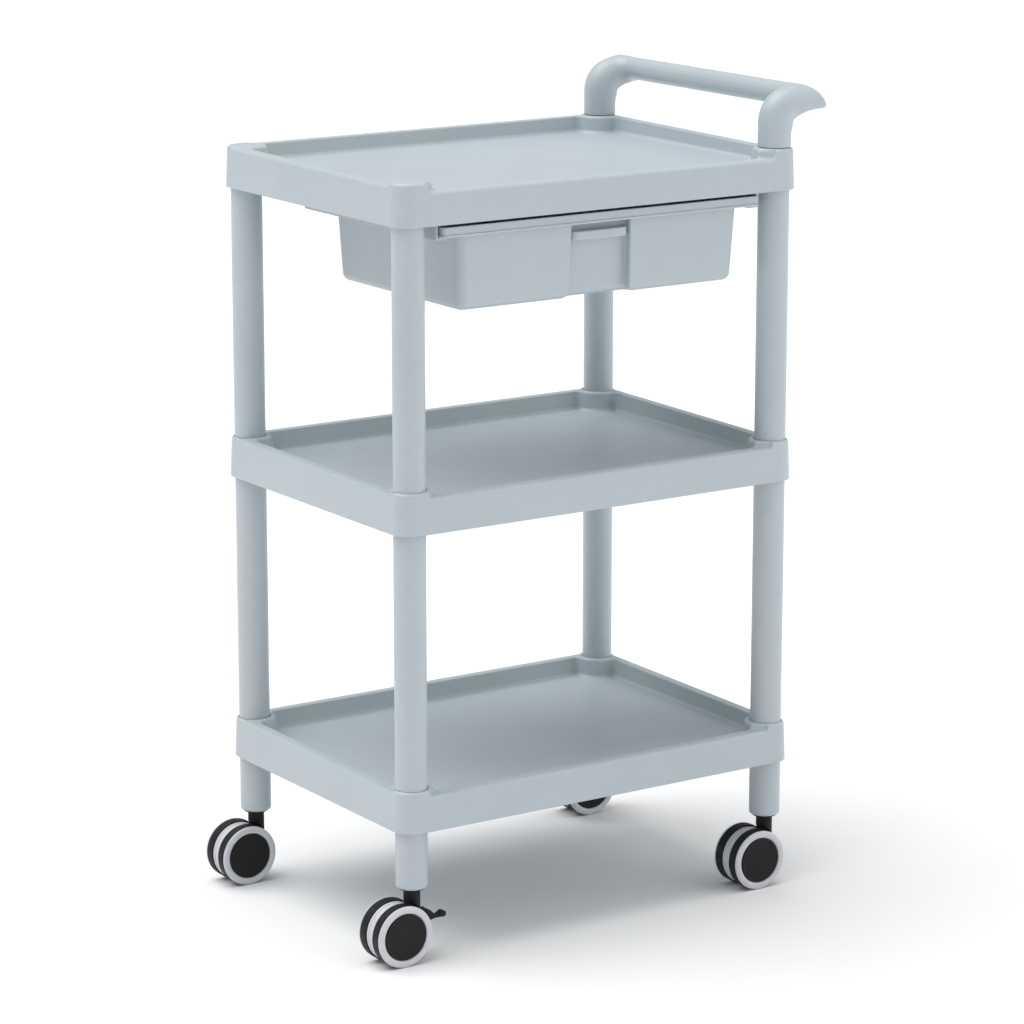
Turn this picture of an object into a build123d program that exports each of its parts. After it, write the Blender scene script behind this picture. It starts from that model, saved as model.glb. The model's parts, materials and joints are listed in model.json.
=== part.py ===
from build123d import *
import os
from math import radians, tan

# Three-shelf moulded plastic utility cart with a hanging drawer, a push handle and swivel casters.
#
# Frame: X runs along the trays towards the push handle, Y runs from the drawer front to the back,
# Z is up. The origin is on the floor under the centre of the overall box. All sizes are millimetres.

# ---- Trays -----------------------------------------------------------------------------------
TRAY_LENGTH = 576.6          # X, at the bottom edge of the skirt
TRAY_WIDTH = 421.6           # Y, at the bottom edge of the skirt
CORNER_HEIGHT = 51.0         # skirt bottom to the top of a corner column
SIDE_RIM_HEIGHT = 48.5       # skirt bottom to the end and back rims
FRONT_RIM_HEIGHT = 44.0      # the same for the lower front rim of the two open shelves
TOP_FRONT_RIM_HEIGHT = 40.0  # the top tray has a still lower front rim
FLOOR_HEIGHT = 27.0          # skirt bottom to the tray floor
TOP_FLOOR_HEIGHT = 30.0
SKIRT_DRAFT = 2.4            # degrees, the skirt leans inwards towards its top
INNER_DRAFT = 9.0            # degrees, the inner walls lean outwards towards the rim
WALL = 3.0                   # moulded wall thickness
RIM_WIDTH = 16.0             # skirt face to the inner wall, level with the rims
CORNER_ROUND = 2.4           # outer edge of a raised corner
FLOOR_FILLET = 3.5
COLUMN_RADIUS = 26.0         # corner column seen from inside the tray
COLUMN_FILLET = 8.0          # where a column meets the inner walls, in plan
RIB_THICK = 2.2              # stiffening ribs under the floor
RIB_DROP = 11.0
RIB_XS = (-200.0, -100.0, 0.0, 100.0, 200.0)
RIB_YS = (-110.0, 0.0, 110.0)
SOCKET_DEPTH = 22.0          # how far a post enters a tray
SOCKET_GAP = 0.1             # radial gap between a post and its socket
RAISED_CORNER_X = 249.6      # half the stretch over which the front and back rims are lowered
RAISED_CORNER_Y = 180.0      # half the stretch over which the end rims are lowered
PAST = 1.0                   # how far a cutting solid runs past the face it cuts

# ---- Posts and legs --------------------------------------------------------------------------
POST_INSET = 25.0            # post axis to the skirt face
POST_RADIUS = 19.3
POST_WALL = 3.3
LEG_BORE_RADIUS = 14.5
LEG_END_Z = 91.0
BOTTOM_TRAY_Z = 163.0
SHELF_PITCH = 362.0
POST_X = TRAY_LENGTH / 2 - POST_INSET
POST_Y = TRAY_WIDTH / 2 - POST_INSET
TRAY_LEVELS = [BOTTOM_TRAY_Z + SHELF_PITCH * level for level in range(3)]
TOP_TRAY_Z = TRAY_LEVELS[2]
LEG_ROUND = 3.5              # rounded lower end of a leg

# ---- Casters ---------------------------------------------------------------------------------
SOCKET_TOP_Z = 132.0         # top of the plug that holds the stem
SOCKET_FLANGE_RADIUS = 15.8
STEM_RADIUS = 5.5
JOURNAL_RADIUS = 4.5
HEAD_RADIUS = 6.4
HEAD_THICK = 2.4
HEAD_Z = 76.4
WHEEL_RADIUS = 38.0
TRAIL = 22.8                 # stem axis to axle axis
AXLE_RADIUS = 4.0
AXLE_FIT = 0.06              # radial running clearance of a wheel on its axle
NECK_RADIUS = 10.2
NECK_TOP_Z = 89.0
NECK_GAP = 0.4               # running gap between the neck and the flange above it
NECK_FOOT_Z = 50.0
AXLE_HALF = 19.6
AXLE_CHAMFER = 0.6
WHEEL_CLEARANCE = 1.2        # neck to tread
GUARD_RADIUS = 35.2          # thread guard disc between the two wheels
GUARD_HALF = 2.5
WHEEL_INNER_Y = 3.1          # inner and outer faces of a wheel, from the caster's middle plane
TREAD_INNER_Y = 7.1
TREAD_OUTER_Y = 20.7
WHEEL_OUTER_Y = 23.2
TREAD_SEAT_RADIUS = 34.0
HUB_RADIUS = 9.0
HUB_OUTER_Y = 19.4
WEB_Y = 10.5
RIM_INNER_RADIUS = 30.6
INNER_FLANGE_RADIUS = 36.4
OUTER_FLANGE_RADIUS = 37.7
FLANGE_BEVEL = 1.6
CAP_RADIUS = 28.6
CAP_SEAT_Y = 20.4
CAP_PROUD = 0.8
CAP_BEVEL = 1.0
CAP_GAP = 0.1
TREAD_BEVEL = 0.7
PIVOT_X = 17.5               # brake lever pivot, from the stem axis and the floor
PIVOT_Z = 56.0
TRUNNION_RADIUS = 2.2
LEVER_HALF = 6.5
LEVER_ROUND = 1.2
LEVER_ROOM_X = 13.1
CHEEK_HALF = 9.2
CHEEK_FRONT_X = 21.5
CHEEK_BACK_X = 12.0
CHEEK_BOTTOM_Z = 52.0
CHEEK_TOP_Z = 61.0
BRIDGE_FRONT_X = 13.0
BRIDGE_BOTTOM_Z = 57.5
BRIDGE_TOP_Z = 63.0
SHOE_X = 19.0
SHOE_Z = 47.3
SHOE_RADIUS = 2.0
SHOE_HALF = 15.0
LEVER_OUTLINE = [            # side view of the lever, from the stem axis and the floor
    (14.0, 53.5), (14.0, 59.5), (17.7, 60.8), (23.8, 61.1), (29.2, 58.5), (34.4, 55.3),
    (39.0, 56.9), (44.0, 58.2), (48.2, 56.6), (48.8, 53.4), (46.2, 50.6), (40.0, 49.8),
    (27.0, 49.0), (21.5, 45.8), (17.0, 45.8), (15.0, 50.0)]

# ---- Push handle -----------------------------------------------------------------------------
RISER_RADIUS = 20.4
SPIGOT_RADIUS = 17.0
SPIGOT_LENGTH = 20.0
HANDLE_REACH = 68.0          # riser axis to the tip of the grip
HANDLE_RISE = 75.0           # corner top to the top of the grip
BEND_START = 30.0            # height where a riser starts to bend
BEND_RADIUS = HANDLE_RISE - BEND_START - RISER_RADIUS
GRIP_TOP = (34.0, HANDLE_RISE)     # crest of the grip, from the riser axis and the corner top
GRIP_NOSE = (57.0, 63.5)
GRIP_TIP = (HANDLE_REACH, 44.0)
GRIP_UNDER = (39.0, 45.5)    # underside of the grip next to its back
GRIP_BACK = (21.5, 60.0)
ARM_UNDER = (44.0, 40.5)     # underside of an arm, which is deeper than the grip
GRIP_END = 12.0              # how far the grip runs past the riser axes

# ---- Drawer ----------------------------------------------------------------------------------
DRAWER_HALF_WIDTH = 203.0    # outside, at the top of the box
DRAWER_FRONT_Y = -197.0
DRAWER_BACK_Y = 80.0
DRAWER_BOTTOM_Z = 781.0
DRAWER_TOP_Z = 871.0         # underside of the rim flange
DRAWER_DRAFT = 2.8
DRAWER_WALL = 2.6
DRAWER_CORNER = 14.0
DRAWER_EDGE = 9.0
FLANGE_HALF = 228.0
FLANGE_FRONT_Y = -206.0
FLANGE_BACK_Y = 86.0
FLANGE_THICK = 3.0
FLANGE_CORNER = 5.0
LIP_HEIGHT = 10.5
LIP_THICK = 2.2
RECESS_HALF = 42.0
RECESS_DEPTH = 11.0
PULL_HALF = 40.5
PULL_THICK = 11.0
PULL_TOP_Z = 861.0
PULL_ROUND = 7.0
RAIL_FRONT_Y = -196.0
RAIL_BACK_Y = 100.0
RAIL_THICK = 3.0
RAIL_TOP_WIDTH = 20.0
SCREW_X = FLANGE_HALF - 7.0
LEDGE_WIDTH = 15.0
SLIDE_GAP = 0.4              # gap between moving plastic parts
BOSS_RADIUS = 5.0
BOSS_BOTTOM = 2.0            # screw boss ends above the skirt bottom
SCREW_RADIUS = 1.9
SCREW_BITE = 12.0
SCREW_HEAD_RADIUS = 4.0
SCREW_HEAD_THICK = 2.4
SCREW_HEAD_BEVEL = 0.8
SCREW_YS = (-150.0, -50.0, 50.0)

# The tray centre is set off from the middle of the overall box, because the grip reaches further
# out at one end than the trailing wheels do at the other.
TRAY_X = (TRAIL + WHEEL_RADIUS - HANDLE_REACH) / 2
CORNERS = {
    "front_left": (-1, -1),
    "front_right": (1, -1),
    "back_left": (-1, 1),
    "back_right": (1, 1),
}
BRAKED = ("front_left", "back_right")


def corner_places(z=0.0, sides=(-1, 1)):
    """Post axes as locations, at height z, at the left (-1) and right (1) ends."""
    return [Pos(x * POST_X, y * POST_Y, z) for x in sides for y in (-1, 1)]


def column(radius, bottom, top):
    """An upright cylinder about the origin from one height to another."""
    return Pos(0, 0, (bottom + top) / 2) * Cylinder(radius, top - bottom)


def block(x_low, x_high, y_low, y_high, z_low, z_high):
    """A box given by its limits."""
    centre = Pos((x_low + x_high) / 2, (y_low + y_high) / 2, (z_low + z_high) / 2)
    return centre * Box(x_high - x_low, y_high - y_low, z_high - z_low)


# ---- Trays -----------------------------------------------------------------------------------
def sink(outline, top, depth):
    """Extrude an outline downwards from height top, narrowing by the inner draft."""
    downward = Plane(origin=(0, 0, top), x_dir=(1, 0, 0), z_dir=(0, 0, -1))
    return extrude(downward * outline, depth, taper=INNER_DRAFT)


def tray_outline(inset):
    """The tray's rectangle, drawn in from the skirt."""
    return Rectangle(TRAY_LENGTH - 2 * inset, TRAY_WIDTH - 2 * inset)


def dish(top, depth):
    """The space inside a tray: a sloping-sided dish that runs round the four corner columns."""
    outline = tray_outline(RIM_WIDTH)
    for place in corner_places():
        outline -= place * Circle(COLUMN_RADIUS)
    outline = fillet(outline.vertices(), COLUMN_FILLET)
    space = sink(outline, top, depth)
    return fillet(space.faces().sort_by(Axis.Z)[0].edges(), FLOOR_FILLET)


def rim_cut(front_rim):
    """What is taken off the outer block so that the rims lie lower than the corners."""
    top = CORNER_HEIGHT + PAST
    ends = block(-TRAY_LENGTH, TRAY_LENGTH, -RAISED_CORNER_Y, RAISED_CORNER_Y, SIDE_RIM_HEIGHT, top)
    back = block(-RAISED_CORNER_X, RAISED_CORNER_X, 0, TRAY_WIDTH, SIDE_RIM_HEIGHT, top)
    front = block(-RAISED_CORNER_X, RAISED_CORNER_X, -TRAY_WIDTH, COLUMN_RADIUS - POST_Y,
                  front_rim, top)
    cut = ends + back + front
    for place in corner_places():
        cut -= place * column(COLUMN_RADIUS, 0, top + PAST)
    return cut


def tray_ribs(floor):
    """Stiffening ribs under the floor, from skirt to skirt."""
    bottom = floor - WALL - RIB_DROP
    top = floor - WALL / 2
    half_x = TRAY_LENGTH / 2 - 2 * WALL
    half_y = TRAY_WIDTH / 2 - 2 * WALL
    half = RIB_THICK / 2
    along = [block(-half_x, half_x, y - half, y + half, bottom, top) for y in RIB_YS]
    across = [block(x - half, x + half, -half_y, half_y, bottom, top) for x in RIB_XS]
    return along + across


def tray(front_rim, floor, upper_socket_sides, upper_socket_radius):
    """One moulded tray, with its skirt bottom at z = 0."""
    shell = extrude(RectangleRounded(TRAY_LENGTH, TRAY_WIDTH, POST_INSET), CORNER_HEIGHT,
                    taper=SKIRT_DRAFT)
    shell -= rim_cut(front_rim)
    dish_top = CORNER_HEIGHT + PAST
    shell -= dish(dish_top, dish_top - floor)
    inner_wall = sink(tray_outline(RIM_WIDTH - WALL), dish_top, dish_top - floor + WALL)
    hollow = extrude(
        RectangleRounded(TRAY_LENGTH - 2 * WALL, TRAY_WIDTH - 2 * WALL, POST_INSET - WALL),
        front_rim - WALL, taper=SKIRT_DRAFT)
    hollow -= inner_wall
    for place in corner_places():
        hollow -= place * column(COLUMN_RADIUS, 0, CORNER_HEIGHT)
    shell -= hollow
    for rib in tray_ribs(floor):
        shell += rib
    for place in corner_places():
        shell -= place * column(POST_RADIUS + SOCKET_GAP, -PAST, SOCKET_DEPTH)
    for place in corner_places(sides=upper_socket_sides):
        shell -= place * column(upper_socket_radius, CORNER_HEIGHT - SOCKET_DEPTH, dish_top)
    return round_corners(shell)


def round_corners(shell):
    """Soften the outer top edge of the four raised corners."""
    arc_length = radians(90) * (POST_INSET - CORNER_HEIGHT * tan(radians(SKIRT_DRAFT)))
    top = shell.edges().filter_by(GeomType.CIRCLE).filter_by_position(
        Axis.Z, CORNER_HEIGHT - 0.01, CORNER_HEIGHT + 0.01)
    return fillet([edge for edge in top if abs(edge.length - arc_length) < 1.0], CORNER_ROUND)


def open_shelf():
    """Middle and bottom tray: posts stand in all four corners."""
    return tray(FRONT_RIM_HEIGHT, FLOOR_HEIGHT, (-1, 1), POST_RADIUS + SOCKET_GAP)


def top_shelf():
    """Top tray: closed left corners, handle sockets at the right, screw bosses for the rails."""
    shell = tray(TOP_FRONT_RIM_HEIGHT, TOP_FLOOR_HEIGHT, (1,), SPIGOT_RADIUS + SOCKET_GAP)
    for x, y in rail_screw_places():
        shell += Pos(x, y, 0) * column(BOSS_RADIUS, BOSS_BOTTOM, TOP_FLOOR_HEIGHT - WALL / 2)
        shell -= Pos(x, y, 0) * column(SCREW_RADIUS, BOSS_BOTTOM - PAST, BOSS_BOTTOM + SCREW_BITE)
    return shell


# ---- Posts and legs --------------------------------------------------------------------------
def post():
    """A tube between two trays, from socket floor to socket ceiling."""
    length = SHELF_PITCH - CORNER_HEIGHT + 2 * SOCKET_DEPTH
    tube = column(POST_RADIUS, 0, length) - column(POST_RADIUS - POST_WALL, -PAST, length + PAST)
    return Pos(0, 0, CORNER_HEIGHT - SOCKET_DEPTH) * tube


def leg():
    """A short thick-walled tube with a rounded lower end that holds the caster socket."""
    bar = column(POST_RADIUS, LEG_END_Z, BOTTOM_TRAY_Z + SOCKET_DEPTH)
    bar = fillet(bar.edges().sort_by(Axis.Z)[0], LEG_ROUND)
    return bar - column(LEG_BORE_RADIUS, LEG_END_Z - PAST, BOTTOM_TRAY_Z + SOCKET_DEPTH + PAST)


# ---- Casters, drawn about the stem axis with the wheels trailing towards -X ---------------------
def caster_socket():
    """Plastic plug in the leg, with a thin flange under the leg's end."""
    plug = column(LEG_BORE_RADIUS - SOCKET_GAP, LEG_END_Z, SOCKET_TOP_Z)
    plug += column(SOCKET_FLANGE_RADIUS, NECK_TOP_Z + NECK_GAP, LEG_END_Z)
    return plug - column(STEM_RADIUS, NECK_TOP_Z, SOCKET_TOP_Z - WALL)


def caster_stem():
    """Steel swivel pin: a shank fixed in the socket, a journal and a riveted head below."""
    pin = column(STEM_RADIUS, NECK_TOP_Z + NECK_GAP, SOCKET_TOP_Z - WALL)
    pin += column(JOURNAL_RADIUS, HEAD_Z, NECK_TOP_Z + NECK_GAP)
    return pin + column(HEAD_RADIUS, HEAD_Z, HEAD_Z + HEAD_THICK)


def axle_bar(radius, y_low, y_high):
    """A cylinder on the axle's axis."""
    middle = (y_low + y_high) / 2
    return Pos(-TRAIL, middle, WHEEL_RADIUS) * Rot(90, 0, 0) * Cylinder(radius, y_high - y_low)


def caster_neck(braked):
    """Swivelling plastic neck that hugs the thread guard, with lever cheeks where it has a brake."""
    neck = column(NECK_RADIUS, NECK_FOOT_Z, NECK_TOP_Z)
    if braked:
        neck += block(0, BRIDGE_FRONT_X, -CHEEK_HALF, CHEEK_HALF, BRIDGE_BOTTOM_Z, BRIDGE_TOP_Z)
        neck += block(CHEEK_BACK_X, CHEEK_FRONT_X, -CHEEK_HALF, CHEEK_HALF,
                      CHEEK_BOTTOM_Z, CHEEK_TOP_Z)
    for side in (-1, 1):
        wheel_room = axle_bar(WHEEL_RADIUS + WHEEL_CLEARANCE, GUARD_HALF, GUARD_HALF + WHEEL_RADIUS)
        neck -= wheel_room if side > 0 else mirror(wheel_room, Plane.XZ)
    neck -= axle_bar(GUARD_RADIUS, -GUARD_HALF - PAST, GUARD_HALF + PAST)
    if braked:
        slot = LEVER_HALF + SLIDE_GAP
        neck -= block(LEVER_ROOM_X, CHEEK_FRONT_X + PAST, -slot, slot, 0, BRIDGE_TOP_Z)
        neck -= on_pivot(TRUNNION_RADIUS + AXLE_FIT, CHEEK_HALF + PAST)
    neck -= column(JOURNAL_RADIUS + AXLE_FIT, HEAD_Z, NECK_TOP_Z + PAST)
    return neck - column(HEAD_RADIUS + SLIDE_GAP, HEAD_Z - SLIDE_GAP, HEAD_Z + HEAD_THICK + SLIDE_GAP)


def thread_guard():
    """Disc between the wheels that carries the axle and keeps thread out of it."""
    bore = axle_bar(AXLE_RADIUS, -GUARD_HALF - PAST, GUARD_HALF + PAST)
    return axle_bar(GUARD_RADIUS, -GUARD_HALF, GUARD_HALF) - bore


def axle():
    """Steel rod, fixed in the thread guard; both wheels run on it."""
    rod = axle_bar(AXLE_RADIUS, -AXLE_HALF, AXLE_HALF)
    return chamfer(rod.edges().filter_by(GeomType.CIRCLE), AXLE_CHAMFER)


def ring_profile(points):
    """A closed outline of (radius, distance from the caster's middle) points, turned to a solid."""
    turned = revolve(make_face(Polyline(*points, close=True)), Axis.Y)
    return Pos(-TRAIL, 0, WHEEL_RADIUS) * turned


def wheel_core():
    """Hub, web and rim of the outboard (+Y) wheel, with a flange at each side of the tread."""
    bore = AXLE_RADIUS + AXLE_FIT
    cap_seat = CAP_RADIUS + CAP_GAP
    return ring_profile([
        (bore, WHEEL_INNER_Y), (HUB_RADIUS, WHEEL_INNER_Y), (HUB_RADIUS, WEB_Y),
        (RIM_INNER_RADIUS, WEB_Y), (RIM_INNER_RADIUS, WHEEL_INNER_Y),
        (INNER_FLANGE_RADIUS, WHEEL_INNER_Y), (INNER_FLANGE_RADIUS, TREAD_INNER_Y),
        (TREAD_SEAT_RADIUS, TREAD_INNER_Y), (TREAD_SEAT_RADIUS, TREAD_OUTER_Y),
        (OUTER_FLANGE_RADIUS, TREAD_OUTER_Y), (OUTER_FLANGE_RADIUS, WHEEL_OUTER_Y - FLANGE_BEVEL),
        (OUTER_FLANGE_RADIUS - FLANGE_BEVEL, WHEEL_OUTER_Y), (cap_seat, WHEEL_OUTER_Y),
        (cap_seat, CAP_SEAT_Y), (RIM_INNER_RADIUS, CAP_SEAT_Y),
        (RIM_INNER_RADIUS, WEB_Y + WALL), (HUB_RADIUS, WEB_Y + WALL), (HUB_RADIUS, HUB_OUTER_Y),
        (bore, HUB_OUTER_Y)])


def tread():
    """Tyre band of the outboard (+Y) wheel."""
    shoulder = WHEEL_RADIUS - TREAD_BEVEL
    return ring_profile([
        (TREAD_SEAT_RADIUS, TREAD_INNER_Y), (shoulder, TREAD_INNER_Y),
        (WHEEL_RADIUS, TREAD_INNER_Y + TREAD_BEVEL), (WHEEL_RADIUS, TREAD_OUTER_Y - TREAD_BEVEL),
        (shoulder, TREAD_OUTER_Y), (TREAD_SEAT_RADIUS, TREAD_OUTER_Y)])


def wheel_cap():
    """Round cover of the outboard (+Y) wheel."""
    return ring_profile([
        (0, CAP_SEAT_Y), (CAP_RADIUS, CAP_SEAT_Y), (CAP_RADIUS, WHEEL_OUTER_Y),
        (CAP_RADIUS - CAP_BEVEL, WHEEL_OUTER_Y + CAP_PROUD), (0, WHEEL_OUTER_Y + CAP_PROUD)])


def on_pivot(radius, half_length):
    """A cylinder along the brake lever's pivot axis."""
    return Pos(PIVOT_X, 0, PIVOT_Z) * Rot(90, 0, 0) * Cylinder(radius, 2 * half_length)


def brake_lever():
    """Foot lever with trunnions and a cross shoe that swings against both treads."""
    side = make_face(Polyline(*LEVER_OUTLINE, close=True))
    side = fillet(side.vertices(), LEVER_ROUND)
    lever = extrude(Plane.XZ * side, LEVER_HALF, both=True)
    lever += on_pivot(TRUNNION_RADIUS, CHEEK_HALF - SLIDE_GAP)
    shoe = Pos(SHOE_X, 0, SHOE_Z) * Rot(90, 0, 0) * Cylinder(SHOE_RADIUS, 2 * SHOE_HALF)
    return lever + shoe


# ---- Push handle, drawn about a riser axis with z = 0 at the corner top -------------------------
def grip_section(under, back):
    """Side view of the grip: a rounded nose, a lean underside and a round back."""
    nose = ThreePointArc(GRIP_TOP, GRIP_NOSE, GRIP_TIP)
    return make_face([nose, Line(GRIP_TIP, under), ThreePointArc(under, back, GRIP_TOP)])


def handle_arm():
    """A riser that bends outwards and ends in the rounded nose of the grip."""
    rise = Line((0, 0), (0, BEND_START))
    bend = JernArc((0, BEND_START), (0, 1), BEND_RADIUS, -90)
    out = Line(bend @ 1, (HANDLE_REACH, (bend @ 1).Y))
    tube = sweep(Circle(RISER_RADIUS), path=Plane.XZ * Wire([rise, bend, out]))
    nose = make_face([
        ThreePointArc(GRIP_TOP, GRIP_NOSE, GRIP_TIP), Line(GRIP_TIP, ARM_UNDER),
        Line(ARM_UNDER, (BEND_RADIUS, BEND_START)), Line((BEND_RADIUS, BEND_START), GRIP_TOP)])
    room = 2 * RISER_RADIUS
    above = HANDLE_RISE + PAST
    behind = Polyline((-room, -PAST), (BEND_RADIUS, -PAST), (BEND_RADIUS, BEND_START), GRIP_TOP,
                      (GRIP_TOP[0], above), (-room, above), close=True)
    envelope = extrude(Plane.XZ * nose, room, both=True)
    envelope += extrude(Plane.XZ * make_face(behind), room, both=True)
    return (tube & envelope) + column(SPIGOT_RADIUS, -SPIGOT_LENGTH, PAST)


def push_handle():
    """One moulding: two arms with spigots for the corner sockets and the grip between them."""
    grip = extrude(Plane.XZ * grip_section(GRIP_UNDER, GRIP_BACK), POST_Y + GRIP_END, both=True)
    for side in (-1, 1):
        grip += Pos(0, side * POST_Y, 0) * handle_arm()
    return grip


# ---- Drawer ------------------------------------------------------------------------------------
def drawer_box(inset, bottom):
    """Drafted drawer body, drawn in by an inset and ending at a given height."""
    depth = DRAWER_BACK_Y - DRAWER_FRONT_Y - 2 * inset
    outline = RectangleRounded(2 * (DRAWER_HALF_WIDTH - inset), depth, DRAWER_CORNER - inset)
    middle = (DRAWER_BACK_Y + DRAWER_FRONT_Y) / 2
    downward = Plane(origin=(0, middle, DRAWER_TOP_Z), x_dir=(1, 0, 0), z_dir=(0, 0, -1))
    box = extrude(downward * outline, DRAWER_TOP_Z - bottom, taper=DRAWER_DRAFT)
    return fillet(box.faces().sort_by(Axis.Z)[0].edges(), DRAWER_EDGE - inset)


def pull_recess(inset):
    """The sunk panel in the middle of the drawer front, grown by an inset for its inner face."""
    lean = (DRAWER_TOP_Z - DRAWER_BOTTOM_Z) * tan(radians(DRAWER_DRAFT))
    back = DRAWER_FRONT_Y + RECESS_DEPTH + inset
    side = Polyline((DRAWER_FRONT_Y - RECESS_DEPTH, DRAWER_TOP_Z), (back, DRAWER_TOP_Z),
                    (back + lean, DRAWER_BOTTOM_Z), (DRAWER_FRONT_Y - RECESS_DEPTH, DRAWER_BOTTOM_Z),
                    close=True)
    return extrude(Plane.YZ * make_face(side), RECESS_HALF + inset, both=True)


def drawer_rim():
    """Flange round the drawer with a raised lip along its edge."""
    width = 2 * FLANGE_HALF
    depth = FLANGE_BACK_Y - FLANGE_FRONT_Y
    rim = extrude(RectangleRounded(width, depth, FLANGE_CORNER), LIP_HEIGHT)
    inside = RectangleRounded(
        width - 2 * LIP_THICK, depth - 2 * LIP_THICK, FLANGE_CORNER - LIP_THICK)
    rim -= Pos(0, 0, FLANGE_THICK) * extrude(inside, LIP_HEIGHT)
    return Pos(0, (FLANGE_BACK_Y + FLANGE_FRONT_Y) / 2, DRAWER_TOP_Z) * rim


def finger_pull():
    """Ledge across the top of the recess, rounded at its outer corners."""
    outline = RectangleRounded(2 * PULL_HALF, 2 * RECESS_DEPTH, PULL_ROUND)
    middle = DRAWER_FRONT_Y + RECESS_DEPTH
    ledge = Pos(0, middle, PULL_TOP_Z - PULL_THICK) * extrude(outline, PULL_THICK)
    return ledge & block(-RECESS_HALF, RECESS_HALF, DRAWER_FRONT_Y - PAST, middle + DRAWER_WALL,
                         0, DRAWER_TOP_Z)


def drawer():
    """One moulding: open box, rim flange with lip, recess and finger pull."""
    shell = drawer_box(0, DRAWER_BOTTOM_Z) + drawer_rim() - pull_recess(0)
    space = drawer_box(DRAWER_WALL, DRAWER_BOTTOM_Z + DRAWER_WALL) - pull_recess(DRAWER_WALL)
    mouth = space.faces().sort_by(Axis.Z)[-1]
    shell -= space + extrude(mouth, LIP_HEIGHT, dir=(0, 0, 1))
    return shell + finger_pull()


def drawer_rail(side):
    """Channel under the top tray that holds one edge of the drawer's flange."""
    web = FLANGE_HALF + SLIDE_GAP
    outer = web + RAIL_THICK
    top = TOP_TRAY_Z + BOSS_BOTTOM
    ledge_top = DRAWER_TOP_Z - SLIDE_GAP
    rail = block(web, outer, RAIL_FRONT_Y, RAIL_BACK_Y, ledge_top - RAIL_THICK, top)
    rail += block(outer - RAIL_TOP_WIDTH, outer, RAIL_FRONT_Y, RAIL_BACK_Y, top - RAIL_THICK, top)
    rail += block(outer - LEDGE_WIDTH, outer, RAIL_FRONT_Y, RAIL_BACK_Y,
                  ledge_top - RAIL_THICK, ledge_top)
    rail += block(outer - LEDGE_WIDTH, outer, RAIL_BACK_Y - RAIL_THICK, RAIL_BACK_Y,
                  ledge_top - RAIL_THICK, top)
    for y in SCREW_YS:
        rail -= Pos(SCREW_X, y, 0) * column(SCREW_RADIUS, top - 2 * RAIL_THICK, top + PAST)
    return rail if side > 0 else mirror(rail, Plane.YZ)


def rail_screw_places():
    """Screw axes of both rails."""
    return [(side * SCREW_X, y) for side in (-1, 1) for y in SCREW_YS]


def rail_screws():
    """Pan-head screws that hold both rails to the bosses under the top tray."""
    top = TOP_TRAY_Z + BOSS_BOTTOM
    seat = top - RAIL_THICK
    head = column(SCREW_HEAD_RADIUS, seat - SCREW_HEAD_THICK, seat)
    head = chamfer(head.edges().sort_by(Axis.Z)[0], SCREW_HEAD_BEVEL)
    screw = head + column(SCREW_RADIUS, seat, top + SCREW_BITE - PAST)
    return [Pos(x, y, 0) * screw for x, y in rail_screw_places()]


# ---- Assembly ----------------------------------------------------------------------------------
def write(name, shapes):
    """Write one node, moved so that the overall box is centred on the origin."""
    shapes = shapes if isinstance(shapes, list) else [shapes]
    placed = [Pos(TRAY_X, 0, 0) * shape for shape in shapes]
    export_step(placed[0] if len(placed) == 1 else Compound(children=placed), f"parts/{name}.step")


def write_frame():
    """Trays, posts, legs, handle and drawer rails."""
    shelf = open_shelf()
    write("bottom_tray", Pos(0, 0, TRAY_LEVELS[0]) * shelf)
    write("middle_tray", Pos(0, 0, TRAY_LEVELS[1]) * shelf)
    write("top_tray", Pos(0, 0, TOP_TRAY_Z) * top_shelf())
    for name, (x, y) in CORNERS.items():
        place = Pos(x * POST_X, y * POST_Y, 0)
        write(f"lower_post_{name}", place * Pos(0, 0, TRAY_LEVELS[0]) * post())
        write(f"upper_post_{name}", place * Pos(0, 0, TRAY_LEVELS[1]) * post())
        write(f"leg_{name}", place * leg())
    write("push_handle", Pos(POST_X, 0, TOP_TRAY_Z + CORNER_HEIGHT) * push_handle())
    write("drawer_rail_left", drawer_rail(-1))
    write("drawer_rail_right", drawer_rail(1))
    write("drawer_rail_screws", rail_screws())


def write_casters():
    """Sockets and stems stay in the legs; the rest turns about the stems."""
    places = {name: Pos(x * POST_X, y * POST_Y, 0) for name, (x, y) in CORNERS.items()}
    write("caster_sockets", [place * caster_socket() for place in places.values()])
    write("caster_stems", [place * caster_stem() for place in places.values()])
    wheel = {"rim": wheel_core(), "tread": tread(), "cap": wheel_cap()}
    for name, place in places.items():
        braked = name in BRAKED
        write(f"caster_neck_{name}", place * caster_neck(braked))
        write(f"thread_guard_{name}", place * thread_guard())
        write(f"axle_{name}", place * axle())
        for piece, shape in wheel.items():
            write(f"wheel_{piece}_{name}_b", place * shape)
            write(f"wheel_{piece}_{name}_a", place * mirror(shape, Plane.XZ))
        if braked:
            write(f"brake_lever_{name}", place * brake_lever())


os.makedirs("parts", exist_ok=True)
write_frame()
write_casters()
write("drawer", drawer())
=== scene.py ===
"""Looks of a moulded plastic utility cart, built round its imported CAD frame.

Every piece is made here as a mesh in metres, in the frame's own axes: +X towards the push handle,
-Y out of the drawer front, +Z up. Sizes that the frame holds are read from its boxes and joints.
"""
import json
import math

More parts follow.
